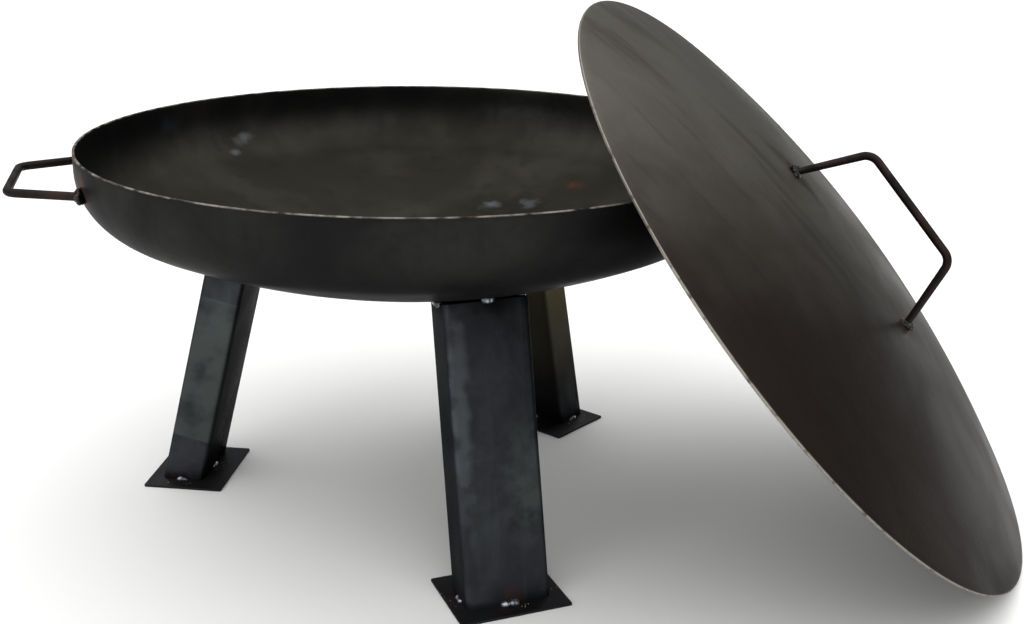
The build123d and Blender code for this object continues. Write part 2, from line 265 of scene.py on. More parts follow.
def lid_place():
    """The lid's own frame: origin in the middle of its rim's plane, X up its slope, Z along its axis."""
    s = sizes()
    lean_way = level(s.lean_azimuth)
    axis = lean_way * math.sin(s.lean_tilt) + Vector((0, 0, math.cos(s.lean_tilt)))
    upslope = Vector((0, 0, math.sin(s.lean_tilt))) - lean_way * math.cos(s.lean_tilt)
    reach = Vector((-math.sqrt(1 - axis.x**2), math.sqrt(1 - axis.y**2), -math.sqrt(1 - axis.z**2)))
    corner = Vector((LID_HIGH.x, LID_LOW.y, LID_HIGH.z))
    return frame_matrix(corner + s.lid_radius * reach, upslope, axis)


def lid_sphere():
    """The lid's outside sphere: its radius, and how far its centre lies below the rim's plane."""
    s = sizes()
    radius = (s.lid_radius**2 + s.lid_dome**2) / (2 * s.lid_dome)
    return radius, radius - s.lid_dome


def off_lid(point):
    """How far a point is outside the lid's outer surface, and the way out."""
    radius, drop = lid_sphere()
    arm = point - lid_place() @ Vector((0, 0, -drop))
    return arm.length - radius, arm.normalized()


def leg_place(name):
    """A leg's own frame: origin where its centreline meets the floor, Z up it, X away from the bowl."""
    azimuth, splay, floor_radius = LEG_SETTINGS[name][:3]
    lean = math.radians(splay)
    out = level(math.radians(azimuth))
    foot = bowl_place()[0] + out * floor_radius * MM
    up_leg = Vector((0, 0, math.cos(lean))) - out * math.sin(lean)
    outward = out * math.cos(lean) + Vector((0, 0, math.sin(lean)))
    return frame_matrix(foot, outward, up_leg)


def leg_length(name):
    """From the floor up a leg's centreline to its square-cut top, whose nearest wall meets the bowl."""
    s = sizes()
    centre = leg_place(name).inverted() @ bowl_crown_centre()
    half_depth, wall = s.leg_depth / 2, s.leg_wall
    inner = abs(centre.x - min(max(centre.x, -half_depth), wall - half_depth))
    outer = abs(centre.x - min(max(centre.x, half_depth - wall), half_depth))
    side = math.hypot(centre.x - min(max(centre.x, -half_depth), half_depth), s.leg_width / 2 - wall)
    reach = s.crown_radius + s.leg_top_gap
    return centre.z - math.sqrt(reach**2 - min(inner, outer, side) ** 2)


def leg_tacks(name):
    """The middles of a leg's tacks and their ways off it: three at the top, then four at the foot."""
    s = sizes()
    place, length = leg_place(name), leg_length(name)
    azimuth, splay = LEG_SETTINGS[name][:2]
    lean, out = math.radians(splay), level(math.radians(azimuth))
    outward, along = place.to_3x3() @ Vector((1, 0, 0)), place.to_3x3() @ Vector((0, 1, 0))
    half_depth, half_width = s.leg_depth / 2, s.leg_width / 2
    top = place @ Vector((0, 0, length))
    foot = place.translation + Vector((0, 0, s.plate_thickness)) - out * s.plate_thickness * math.tan(lean)
    tops = [(top + outward * half_depth, outward), (top + along * half_width, along)]
    tops.append((top - along * half_width, -along))
    feet = [(foot + way * half_depth / math.cos(lean), way) for way in (out, -out)]
    feet += [(foot + way * half_width, way) for way in (along, -along)]
    return tops, feet


def handle_corners(roots, grips, sink):
    """A three-sided handle's centreline, its two ends carried on past the roots by sink."""
    ends = [root - (grip - root).normalized() * sink for root, grip in zip(roots, grips)]
    return [ends[0], grips[0], grips[1], ends[1]]


def bowl_handle_corners(name, sink=0.0):
    """The corners of a bowl handle's centreline."""
    s = sizes()
    axis, radius, rim = bowl_place()
    azimuth = math.radians(BOWL_HANDLE_AZIMUTHS[name])
    out, across = level(azimuth), level(azimuth + math.pi / 2)
    base = axis + Vector((0, 0, rim - s.bowl_handle_drop))
    half_roots, half_grip = s.bowl_handle_roots / 2, s.bowl_handle_grip / 2
    root_radius = math.sqrt(radius**2 - half_roots**2)
    roots = [base + out * root_radius + across * side * half_roots for side in (1, -1)]
    grips = [base + out * (radius + s.bowl_handle_reach) + across * side * half_grip for side in (1, -1)]
    return handle_corners(roots, grips, sink)


def lid_handle_corners(sink=0.0):
    """The corners of the lid handle's centreline."""
    s = sizes()
    radius, drop = lid_sphere()
    half_feet, half_grip = s.lid_handle_feet / 2, s.lid_handle_grip / 2
    foot_height = math.sqrt(radius**2 - half_feet**2 - s.lid_handle_shift**2) - drop
    grip_height = s.lid_dome + s.lid_handle_rise
    place = lid_place() @ Matrix.Rotation(s.lid_handle_turn, 4, "Z")
    roots = [place @ Vector((side * half_feet, s.lid_handle_shift, foot_height)) for side in (1, -1)]
    grips = [place @ Vector((side * half_grip, s.lid_handle_shift, grip_height)) for side in (1, -1)]
    return handle_corners(roots, grips, sink)


# ---- modelling helpers


def new_piece(name, add, **settings):
    """Adds a primitive with nothing else selected, and returns its object."""
    if bpy.context.object and bpy.context.object.mode != "OBJECT":
        bpy.ops.object.mode_set(mode="OBJECT")
    bpy.ops.object.select_all(action="DESELECT")
    add(**settings)
    piece = bpy.context.object
    piece.name = name
    piece.data.name = name
    return piece


def new_block(name, size, height):
    """A box of a given size, its middle at a height over the origin, in edit mode."""
    settings = {"size": 1, "location": (0, 0, height), "scale": size}
    block = new_piece(name, bpy.ops.mesh.primitive_cube_add, **settings)
    settle(block)
    bpy.ops.object.mode_set(mode="EDIT")
    return block


def choose(piece):
    """Makes a piece the one that object operators act on."""
    if piece.mode != "OBJECT":
        bpy.ops.object.mode_set(mode="OBJECT")
    bpy.ops.object.select_all(action="DESELECT")
    piece.select_set(True)
    bpy.context.view_layer.objects.active = piece


def pick(piece, kind, test):
    """In edit mode, selects just the edges or faces that pass a test."""
    bpy.ops.mesh.select_mode(type=kind)
    bpy.ops.mesh.select_all(action="DESELECT")
    mesh = bmesh.from_edit_mesh(piece.data)
    for item in {"EDGE": mesh.edges, "FACE": mesh.faces}[kind]:
        if test(item):
            item.select_set(True)
    mesh.select_flush_mode()
    bmesh.update_edit_mesh(piece.data)


def climbs(height):
    """A test for edges that climb by more than a height."""
    return lambda edge: abs(edge.verts[0].co.z - edge.verts[1].co.z) > height


def settle(piece, place=None):
    """Puts a piece at a place and applies it: the object is then at the origin, unturned and unscaled."""
    choose(piece)
    if place is not None:
        piece.matrix_world = place @ piece.matrix_world
    bpy.ops.object.transform_apply(location=True, rotation=True, scale=True)


def modify(piece, kind, **settings):
    """Adds a modifier and applies it."""
    choose(piece)
    modifier = piece.modifiers.new(kind.title(), kind)
    for key, value in settings.items():
        setattr(modifier, key, value)
    bpy.ops.object.modifier_apply(modifier=modifier.name)


def round_edges(piece, width, segments):
    """Rounds every sharp edge of a piece."""
    modify(piece, "BEVEL", width=width, segments=segments, limit_method="ANGLE", angle_limit=SHARP_CORNER)
    choose(piece)
    bpy.ops.object.shade_smooth_by_angle(angle=SMOOTH_CORNER)


def finish_piece(piece, body, material, node):
    """Gives a piece its material and the body it rides on, and hides the frame node that it stands for."""
    piece.data.materials.clear()
    piece.data.materials.append(material)
    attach(piece, body)
    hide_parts(node)


def lathe(name, profile):
    """An open sheet turned about Z from (radius, height) points, the first of them on the axis."""
    piece = new_piece(name, bpy.ops.mesh.primitive_plane_add, size=MM)
    bpy.ops.object.mode_set(mode="EDIT")
    bpy.ops.mesh.merge(type="CENTER")
    bpy.ops.transform.translate(value=(profile[0][0], 0, profile[0][1]))
    for start, end in zip(profile, profile[1:]):
        step = (end[0] - start[0], 0, end[1] - start[1])
        bpy.ops.mesh.extrude_region_move(TRANSFORM_OT_translate={"value": step})
    bpy.ops.mesh.select_all(action="SELECT")
    bpy.ops.mesh.spin(steps=ROUND_STEPS, angle=math.tau, center=(0, 0, 0), axis=(0, 0, 1))
    bpy.ops.mesh.select_all(action="SELECT")
    bpy.ops.mesh.remove_doubles(threshold=MERGE_REACH)
    bpy.ops.mesh.normals_make_consistent(inside=False)
    bpy.ops.object.mode_set(mode="OBJECT")
    return piece


def face_away(piece, middle):
    """Turns a sheet's faces round if they look towards a point that its outside faces away from."""
    face = piece.data.polygons[0]
    if face.normal.dot(face.center - middle) < 0:
        choose(piece)
        bpy.ops.object.mode_set(mode="EDIT")
        bpy.ops.mesh.select_all(action="SELECT")
        bpy.ops.mesh.flip_normals()
        bpy.ops.object.mode_set(mode="OBJECT")


def uneven(piece, depth, span, seed, edge, settled):
    """Pushes a sheet in by soft clouds span wide, or out by a depth below zero.

    The push fades out towards the edge at one height, over the height called settled.
    """
    field = piece.vertex_groups.new(name="field")
    for vertex in piece.data.vertices:
        field.add([vertex.index], min(1.0, abs(vertex.co.z - edge) / settled), "REPLACE")
    pattern = bpy.data.textures.new(f"{piece.name}_waves", "CLOUDS")
    pattern.noise_scale = span
    pattern.noise_depth = 1
    guide = bpy.data.objects.new(f"{piece.name}_waves", None)
    guide.location = (seed, seed / 2, seed / 3)
    bpy.context.scene.collection.objects.link(guide)
    waves = {"texture": pattern, "texture_coords": "OBJECT", "texture_coords_object": guide}
    modify(piece, "DISPLACE", strength=depth, mid_level=1.0, vertex_group=field.name, **waves)
    piece.vertex_groups.clear()
    bpy.data.objects.remove(guide)
    bpy.data.textures.remove(pattern)


def bent_bar(name, corners, radius, bend_radius):
    """Round bar along a line of corners: a disc extruded along each straight and spun round each bend."""
    here, way = corners[0], (corners[1] - corners[0]).normalized()
    piece = new_piece(
        name,
        bpy.ops.mesh.primitive_circle_add,
        vertices=BAR_SIDES,
        radius=radius,
        fill_type="NGON",
        location=here,
        rotation=way.to_track_quat("Z", "Y").to_euler(),
    )
    settle(piece)
    bpy.ops.object.mode_set(mode="EDIT")
    bpy.ops.mesh.select_all(action="SELECT")
    for corner, after in zip(corners[1:-1], corners[2:]):
        onward = (after - corner).normalized()
        turn = way.angle(onward)
        tangent = bend_radius * math.tan(turn / 2)
        bend_start = corner - way * tangent
        bpy.ops.mesh.extrude_region_move(TRANSFORM_OT_translate={"value": bend_start - here})
        axis = way.cross(onward).normalized()
        centre = bend_start + axis.cross(way) * bend_radius
        bpy.ops.mesh.spin(steps=BEND_STEPS, angle=-turn, center=centre, axis=axis)
        here = corner + onward * tangent
        way = onward
    bpy.ops.mesh.extrude_region_move(TRANSFORM_OT_translate={"value": corners[-1] - here})
    bpy.ops.mesh.select_all(action="SELECT")
    bpy.ops.mesh.remove_doubles(threshold=MERGE_REACH)
    bpy.ops.mesh.normals_make_consistent(inside=False)
    bpy.ops.object.mode_set(mode="OBJECT")
    return piece


def keep_in_sheet(piece, surface):
    """Lifts back what would come through a sheet: a piece goes into it no deeper than the weld sink."""
    sink = sizes().weld_sink
    for vertex in piece.data.vertices:
        gap, way_out = surface(vertex.co)
        if gap < -sink:
            vertex.co += way_out * (-sink - gap)


def melted(name, blobs):
    """Weld metal from overlapping blobs of (centre, radius), melted into one skin and smoothed."""
    ball = {"segments": 14, "ring_count": 8}
    parts = []
    for centre, radius in blobs:
        add = bpy.ops.mesh.primitive_uv_sphere_add
        parts.append(new_piece(name, add, radius=radius, location=centre, **ball))
    bpy.ops.object.select_all(action="DESELECT")
    for part in parts:
        part.select_set(True)
    bpy.context.view_layer.objects.active = parts[0]
    bpy.ops.object.join()
    piece = bpy.context.object
    settle(piece)
    modify(piece, "REMESH", mode="VOXEL", voxel_size=sizes().bead_voxel)
    modify(piece, "SMOOTH", factor=0.5, iterations=2)
    choose(piece)
    bpy.ops.object.shade_smooth()
    return piece


def bead_blobs(middle, along, length, radius, rng):
    """A run of overlapping blobs along a seam, which leaves the ripples of a bead."""
    pitch = radius * 0.5
    count = max(2, round((length - 2 * radius) / pitch) + 1)
    blobs = []
    for i in range(count):
        offset = (i - (count - 1) / 2) * pitch
        blobs.append((middle + along * offset, radius * rng.uniform(0.86, 1.06)))
    return blobs


def root_blobs(foot, way, bar_radius, rng):
    """Blobs round a bar's root, lumpy as a weld laid by hand goes round it."""
    across = way.orthogonal().normalized()
    over = way.cross(across)
    blobs = []
    count = 13
    # Each ring's blob radius, reach past the bar and rise off the sheet, in millimetres
    for size, spread, rise in ((3.1, 2.4, 0.3), (2.3, 0.7, 3.4)):
        for i in range(count):
            turn = math.tau * i / count + rng.uniform(-0.1, 0.1)
            outward = across * math.cos(turn) + over * math.sin(turn)
            middle = foot + outward * (bar_radius + (spread + rng.uniform(-0.6, 0.6)) * MM)
            middle += way * (rise + rng.uniform(-0.7, 0.9)) * MM
            blobs.append((middle, size * rng.uniform(0.85, 1.15) * MM))
    return blobs


# ---- materials


def add_node(tree, kind, inputs=(), stops=(), **settings):
    """Adds a shader node with its settings, ramp stops, and inputs given as values or as links."""
    node = tree.nodes.new(kind)
    for key, value in settings.items():
        setattr(node, key, value)
    for key, value in dict(inputs).items():
        if isinstance(value, bpy.types.NodeSocket):
            tree.links.new(value, node.inputs[key])
        else:
            node.inputs[key].default_value = value
    for i, (position, tone) in enumerate(stops):
        element = node.color_ramp.elements[i] if i < 2 else node.color_ramp.elements.new(position)
        element.position = position
        element.color = tone
    return node


def new_steel(name, place, roughness, metal):
    """A steel material, the coordinates of its own frame, and its look so far."""
    material = bpy.data.materials.new(name)
    material.use_nodes = True
    tree = material.node_tree
    points = add_node(tree, "ShaderNodeTexCoord").outputs["Object"]
    inputs = {"Vector": points, "Location": place.to_translation(), "Rotation": place.to_euler()}
    points = add_node(tree, "ShaderNodeMapping", inputs, vector_type="TEXTURE").outputs["Vector"]
    look = {"Base Color": None, "Roughness": roughness, "Metallic": metal, "Relief": []}
    return material, tree, points, look


def patches(tree, points, span, low, high, detail=3.0, stretch=(1, 1, 1), bend=0.0):
    """A mask of soft patches about span millimetres across, longer along axes with a stretch below 1."""
    inputs = {0: points, 1: [share * 1000 / span for share in stretch]}
    scaled = add_node(tree, "ShaderNodeVectorMath", inputs, operation="MULTIPLY").outputs["Vector"]
    inputs = {"Vector": scaled, "Scale": 1.0, "Detail": detail, "Distortion": bend}
    noise = add_node(tree, "ShaderNodeTexNoise", inputs).outputs["Fac"]
    inputs = {"Value": noise, "From Min": low, "From Max": high}
    return add_node(tree, "ShaderNodeMapRange", inputs, interpolation_type="SMOOTHSTEP").outputs["Result"]


def across_band(tree, points, way, low, high, ragged=0.0):
    """A mask that rises from low to high metres along a direction, with a ragged edge if asked."""
    inputs = {0: points, 1: way}
    along = add_node(tree, "ShaderNodeVectorMath", inputs, operation="DOT_PRODUCT").outputs["Value"]
    if ragged:
        wander = patches(tree, points, 60, 0.25, 0.75)
        inputs = {0: wander, 1: ragged, 2: along}
        along = add_node(tree, "ShaderNodeMath", inputs, operation="MULTIPLY_ADD").outputs[0]
    inputs = {"Value": along, "From Min": low, "From Max": high}
    return add_node(tree, "ShaderNodeMapRange", inputs, interpolation_type="SMOOTHSTEP").outputs["Result"]


def near(tree, points, spot, reach, ragged=0.5, stretch=(1, 1, 1)):
    """How far out from a spot, from 0 there to 1 at reach metres, wandering as smoke and heat do."""
    shares = {0: points, 1: stretch}
    scaled = add_node(tree, "ShaderNodeVectorMath", shares, operation="MULTIPLY").outputs["Vector"]
    inputs = {0: scaled, 1: [a * b for a, b in zip(spot, stretch)]}
    away = add_node(tree, "ShaderNodeVectorMath", inputs, operation="DISTANCE").outputs["Value"]
    share = add_node(tree, "ShaderNodeMath", {0: away, 1: reach}, operation="DIVIDE").outputs[0]
    inputs = {0: patches(tree, points, 20, 0.3, 0.8), 1: ragged, 2: share}
    return add_node(tree, "ShaderNodeMath", inputs, operation="MULTIPLY_ADD").outputs[0]


def lay_over(tree, look, masks, tone, roughness=None, metal=None):
    """Lays a colour, and a roughness and metal if given, over the look so far where all masks are on."""
    mask = masks[0]
    for other in masks[1:]:
        mask = add_node(tree, "ShaderNodeMath", {0: mask, 1: other}, operation="MULTIPLY").outputs[0]
    mix = add_node(tree, "ShaderNodeMix", {0: mask, 6: look["Base Color"], 7: tone}, data_type="RGBA")
    look["Base Color"] = mix.outputs[2]
    for key, value in (("Roughness", roughness), ("Metallic", metal)):
        if value is not None:
            mix = add_node(tree, "ShaderNodeMix", {0: mask, 2: look[key], 3: value}, data_type="FLOAT")
            look[key] = mix.outputs[0]


def lay_scale(tree, points, look, dark, light, span):
    """Mottled mill scale: broad soft patches of two tones, finer mottling in them, and specks."""
    broad = patches(tree, points, span, 0.3, 0.72, detail=4.0, bend=0.5)
    fine = patches(tree, points, 9, 0.25, 0.75, detail=4.0)
    specks = patches(tree, points, 2.4, 0.6, 0.8)
    look["Base Color"] = dark
    lay_over(tree, look, [broad], light)
    lay_over(tree, look, [fine, 0.35], dark)
    lay_over(tree, look, [specks, 0.3], light)
    worn = {"Value": broad, "To Min": look["Roughness"] + 0.07, "To Max": look["Roughness"] - 0.06}
    look["Roughness"] = add_node(tree, "ShaderNodeMapRange", worn).outputs["Result"]
    look["Relief"] += [(broad, 0.3), (fine, 0.06), (specks, 0.03)]


def lay_heat(tree, points, look, spot, reach, masks):
    """Heat tint round a weld: soot next to the bead, then blue, then brown, fading out at its reach."""
    c = colours()
    share = near(tree, points, spot, reach)
    stops = [(0.0, c.soot), (0.35, c.soot), (0.5, c.tint_blue), (0.72, c.tint_brown)]
    tone = add_node(tree, "ShaderNodeValToRGB", {"Fac": share}, stops).outputs["Color"]
    inputs = {"Value": share, "From Min": 1.05, "From Max": 0.45}
    fade = add_node(tree, "ShaderNodeMapRange", inputs, interpolation_type="SMOOTHSTEP").outputs["Result"]
    lay_over(tree, look, [fade, *masks], tone)


def lay_smudge(tree, points, look, spot, reach, tone, masks, stretch=(1, 1, 1)):
    """A soft smudge of one colour round a spot."""
    share = near(tree, points, spot, reach, 0.6, stretch)
    inputs = {"Value": share, "From Min": 1.1, "From Max": 0.3}
    fade = add_node(tree, "ShaderNodeMapRange", inputs, interpolation_type="SMOOTHSTEP").outputs["Result"]
    lay_over(tree, look, [fade, *masks], tone)


def finish_steel(material, tree, look, specular, sheen):
    """Wires the finished look into the shader."""
    shader = tree.nodes["Principled BSDF"]
    shader.inputs["Specular IOR Level"].default_value = specular
    shader.inputs["Specular Tint"].default_value = sheen
    normal = None
    for height, depth in look.pop("Relief"):
        inputs = {"Height": height, "Distance": depth * MM, "Strength": 1.0}
        if normal is not None:
            inputs["Normal"] = normal
        normal = add_node(tree, "ShaderNodeBump", inputs).outputs["Normal"]
    if normal is not None:
        look["Normal"] = normal
    for key, value in look.items():
        if isinstance(value, bpy.types.NodeSocket):
            tree.links.new(value, shader.inputs[key])
        else:
            shader.inputs[key].default_value = value
    return material


def bowl_steel():
    """Hot-pressed mild steel with its mill scale on: near-black outside, olive and duller inside."""
    c = colours()
    axis, _, rim = bowl_place()
    place = Matrix.Translation(axis)
    material, tree, points, look = new_steel("pressed_steel_mill_scale", place, 0.42, 0.75)
    lay_scale(tree, points, look, c.scale_black, c.scale_grey, 140)

    # The inside looks up at the crown's centre, and the outside away from it
    surface_way = add_node(tree, "ShaderNodeTexCoord").outputs["Normal"]
    inputs = {0: points, 1: bowl_crown_centre() - axis}
    arm = add_node(tree, "ShaderNodeVectorMath", inputs, operation="SUBTRACT").outputs["Vector"]
    inputs = {0: surface_way, 1: arm}
    facing = add_node(tree, "ShaderNodeVectorMath", inputs, operation="DOT_PRODUCT").outputs["Value"]
    inside = add_node(tree, "ShaderNodeMath", {0: facing, 1: 0.0}, operation="LESS_THAN").outputs[0]
    outside = add_node(tree, "ShaderNodeMath", {0: 1.0, 1: inside}, operation="SUBTRACT").outputs[0]
    low_down = across_band(tree, points, (0, 0, -1), -rim + 0.03, -rim + 0.12, ragged=0.02)
    lay_over(tree, look, [inside, low_down], c.scale_olive, 0.5)
    worn = patches(tree, points, 110, 0.4, 0.8, detail=4.0)
    lay_over(tree, look, [inside, worn, 0.3], c.lid_grey)

    # Pressing and handling marks run down the wall
    streaks = patches(tree, points, 24, 0.55, 0.75, stretch=(1, 1, 0.16))
    lay_over(tree, look, [streaks, 0.35], c.scale_black)
    # Each tack under the crown shows through as a dark halo round a pale spot
    for name in LEG_SETTINGS:
        for middle, _ in leg_tacks(name)[0]:
            spot = middle - axis
            lay_smudge(tree, points, look, spot, 0.05, c.scale_black, [0.5])
            lay_smudge(tree, points, look, spot + Vector((0, 0, 0.012)), 0.022, c.burn_mark_and_highlight, [0.7])
    for name in BOWL_HANDLE_AZIMUTHS:
        corners = bowl_handle_corners(name)
        for root in (corners[0], corners[-1]):
            lay_heat(tree, points, look, root - axis, 0.034, [outside, 0.6])
            above = root - axis + Vector((0, 0, 0.016))
            lay_smudge(tree, points, look, above, 0.02, c.tint_brown, [outside, 0.8])
    # Real marks, and a painted highlight on the back-left knuckle
    for spot, reach, tone in INSIDE_MARKS_AND_HIGHLIGHT:
        spot = Vector(spot) * MM
        lay_smudge(tree, points, look, spot, reach * MM, getattr(c, tone), [0.45], (1, 1, 1.6))
    # The cut rim is worn to bare metal, thinly rusted in places
    edge = across_band(tree, points, (0, 0, 1), rim - 1.7 * MM, rim - 0.6 * MM)
    bare = patches(tree, points, 16, 0.3, 0.7, detail=4.0)
    lay_over(tree, look, [edge, bare], c.bare_steel, 0.5, 0.3)
    rusty = patches(tree, points, 70, 0.56, 0.7)
    lay_over(tree, look, [edge, rusty, 0.7], c.rust, 0.6, 0.0)
    return finish_steel(material, tree, look, 0.15, c.bright_sheen)


def lid_steel():
    """The same pressed steel, handled more: worn warm grey up the dome, brown down its near side, darkened
    there as painted shade.
    """
    c = colours()
    s = sizes()
    place = lid_place()
    material, tree, points, look = new_steel("pressed_steel_worn_lid", place, 0.4, 0.75)
    lay_scale(tree, points, look, c.lid_grey, c.scuffed, 150)
    # Y runs level across the lid, and X up its slope
    # Painted shade: a brown tone darkened down the lid's near side, where less light falls
    lower = across_band(tree, points, (-0.75, 0.66, 0), -0.12, 0.24, ragged=0.05)
    lay_over(tree, look, [lower, 0.92], c.lid_brown)
    along_slope = patches(tree, points, 30, 0.5, 0.7, stretch=(0.12, 1, 1), bend=0.3)
    lay_over(tree, look, [along_slope, 0.3], c.lid_brown)
    corners = [place.inverted() @ corner for corner in lid_handle_corners()]
    for foot in (corners[0], corners[-1]):
        lay_heat(tree, points, look, foot, 0.03, [0.8])
        lay_smudge(tree, points, look, foot, 0.05, c.soot, [0.45], (0.5, 1.6, 1))
    # Painted shadow of the handle: a faint dark line between the handle's feet
    along, aside = (corners[0] - corners[-1]).normalized(), (corners[0] + corners[-1]) / 2
    for share in (-0.36, -0.12, 0.12, 0.36):
        spot = aside + along * share * s.lid_handle_feet
        lay_smudge(tree, points, look, spot, 0.032, c.soot, [0.5], (1, 9, 0.2))
    # Painted shadow of the handle, carried on down the slope past its lower foot
    for up_slope, near_side, reach, width in LID_HANDLE_SHADOW:
        spot = Vector((up_slope, near_side, s.lid_dome / MM)) * MM
        lay_smudge(tree, points, look, spot, reach * MM / 2, c.soot, [], (1, reach / width, 0.05))
    # The saw-cut edge is bare
    inputs = {0: points, 1: (1, 1, 0)}
    flat = add_node(tree, "ShaderNodeVectorMath", inputs, operation="MULTIPLY").outputs["Vector"]
    from_axis = add_node(tree, "ShaderNodeVectorMath", {0: flat}, operation="LENGTH").outputs["Value"]
    inputs = {"Value": from_axis, "From Min": s.lid_radius - 1.8 * MM, "From Max": s.lid_radius - 0.6 * MM}
    edge = add_node(tree, "ShaderNodeMapRange", inputs).outputs["Result"]
    bare = patches(tree, points, 12, 0.2, 0.5)
    lay_over(tree, look, [edge, bare], c.bare_steel, 0.3, 0.7)
    return finish_steel(material, tree, look, 0.2, c.bright_sheen)


def leg_steel(name):
    """Hot-rolled box section: blue-grey scale, rubbed paler in places, olive-brown up the right leg, with
    a painted highlight on the front leg's left corner and painted shade on the faces towards the bowl's
    axis.
    """
    c = colours()
    s = sizes()
    place = leg_place(name)
    length = leg_length(name)
    material, tree, points, look = new_steel(f"box_section_mill_scale_{name}", place, 0.4, 0.75)
    lay_scale(tree, points, look, c.leg_dark, c.leg_blue, 70)
    along = patches(tree, points, 26, 0.5, 0.7, stretch=(1, 1, 0.14), bend=0.4)
    lay_over(tree, look, [along, 0.3], c.leg_light)
    if name == "left":
        # A sling left a paler stretch up the middle, with sharp ends
        over = across_band(tree, points, (0, 0.1, 1), 0.068, 0.07)
        under = across_band(tree, points, (0, 0.05, -1), -length + 0.072, -length + 0.074)
        mottle = patches(tree, points, 40, 0.3, 0.6, detail=4.0)
        lay_over(tree, look, [over, under, mottle, 0.9], c.leg_light)
    if name == "front":
        # A painted highlight along its left corner, and a faint paler patch on the right of its face
        corner = (s.leg_depth / 2, -s.leg_width / 2 + 0.009, 0.22)
        lay_smudge(tree, points, look, corner, 0.02, c.burn_mark_and_highlight, [0.45], (1, 1.2, 0.11))
        patch = (s.leg_depth / 2, 0.034, 0.13)
        lay_smudge(tree, points, look, patch, 0.05, c.leg_light, [0.9], (1, 1.3, 0.6))
    if name == "right":
        upper = across_band(tree, points, (0, 0, 1), 0.02, 0.3, ragged=0.05)
        lay_over(tree, look, [upper], c.leg_olive)
    # Painted shade darkens the face towards the bowl's axis, which looks down into the shade under the
    # bowl
    inner = across_band(tree, points, (-1, 0, 0), s.leg_depth / 2 - 0.005, s.leg_depth / 2 - 0.001)
    lay_over(tree, look, [inner, 0.7], c.soot)
    tops, feet = leg_tacks(name)
    for middle, _ in tops:
        lay_smudge(tree, points, look, place.inverted() @ middle, 0.03, c.soot, [0.6])
    for middle, _ in feet:
        lay_heat(tree, points, look, place.inverted() @ middle, 0.024, [0.4])
    return finish_steel(material, tree, look, 0.1, c.dull_sheen)


def plate_steel():
    """Guillotined flat bar: near-black scale, tinted by heat round its tacks."""
    c = colours()
    material, tree, points, look = new_steel("sheared_flat_mill_scale", Matrix(), 0.45, 0.7)
    lay_scale(tree, points, look, c.leg_dark, c.scale_grey, 50)
    for name in LEG_SETTINGS:
        for middle, _ in leg_tacks(name)[1]:
            lay_heat(tree, points, look, middle, 0.024, [0.4])
    return finish_steel(material, tree, look, 0.15, c.bright_sheen)


def bar_steel():
    """Hot-rolled round bar: brown-black scale with a dull sheen."""
    c = colours()
    material, tree, points, look = new_steel("round_bar_mill_scale", Matrix(), 0.42, 0.7)
    lay_scale(tree, points, look, c.scale_black, c.bar_brown, 35)
    return finish_steel(material, tree, look, 0.2, c.bright_sheen)


def weld_metal(name, base, bare):
    """As-welded bead: rippled scale, broken by silvery spots on a bare share of it, browned in patches."""
    c = colours()
    material, tree, points, look = new_steel(name, Matrix(), 0.34, 0.85)
    look["Base Color"] = base
    lay_over(tree, look, [patches(tree, points, 7, 0.9 - bare, 1.1 - bare)], c.weld_silver)
    lay_over(tree, look, [patches(tree, points, 9, 0.55, 0.7), 0.6], c.tint_brown, 0.5)
    look["Relief"].append((patches(tree, points, 1.8, 0.3, 0.7), 0.12))
    return finish_steel(material, tree, look, 0.5, (1, 1, 1, 1))


# ---- operators, one for each group of like pieces


class FIREBOWL_OT_bowl(bpy.types.Operator):
    """Turn the dished bowl, with its knuckle, upright rim and sheet thickness"""

    bl_idname = "firebowl.bowl"
    bl_label = "Bowl"

    def execute(self, context):
        s = sizes()
        axis, radius, rim = bowl_place()
        crown = bowl_crown_centre().z
        knuckle, knuckle_height = s.knuckle_radius, rim - s.rim_upright
        crown_angle = math.asin((radius - knuckle) / (s.crown_radius - knuckle))
        crown_steps, knuckle_steps, wall_steps = 30, 12, 3
        profile = []
        for i in range(crown_steps + 1):
            turn = crown_angle * i / crown_steps
            profile.append((s.crown_radius * math.sin(turn), crown - s.crown_radius * math.cos(turn)))
        for i in range(1, knuckle_steps + 1):
            turn = crown_angle + (math.pi / 2 - crown_angle) * i / knuckle_steps
            out, down = knuckle * math.sin(turn), knuckle * math.cos(turn)
            profile.append((radius - knuckle + out, knuckle_height - down))
        for i in range(1, wall_steps + 1):
            profile.append((radius, knuckle_height + (rim - knuckle_height) * i / wall_steps))
        bowl = lathe("fire_bowl_dish", profile)
        face_away(bowl, Vector((0, 0, crown)))
        settle(bowl, Matrix.Translation(axis))
        uneven(bowl, s.sheet_wave, span=0.16, seed=3.1, edge=rim, settled=0.08)
        modify(bowl, "SOLIDIFY", thickness=s.sheet, offset=-1, use_even_offset=True)
        round_edges(bowl, s.rim_round, 3)
        finish_piece(bowl, "fire_bowl", bowl_steel(), "bowl")
        return {"FINISHED"}


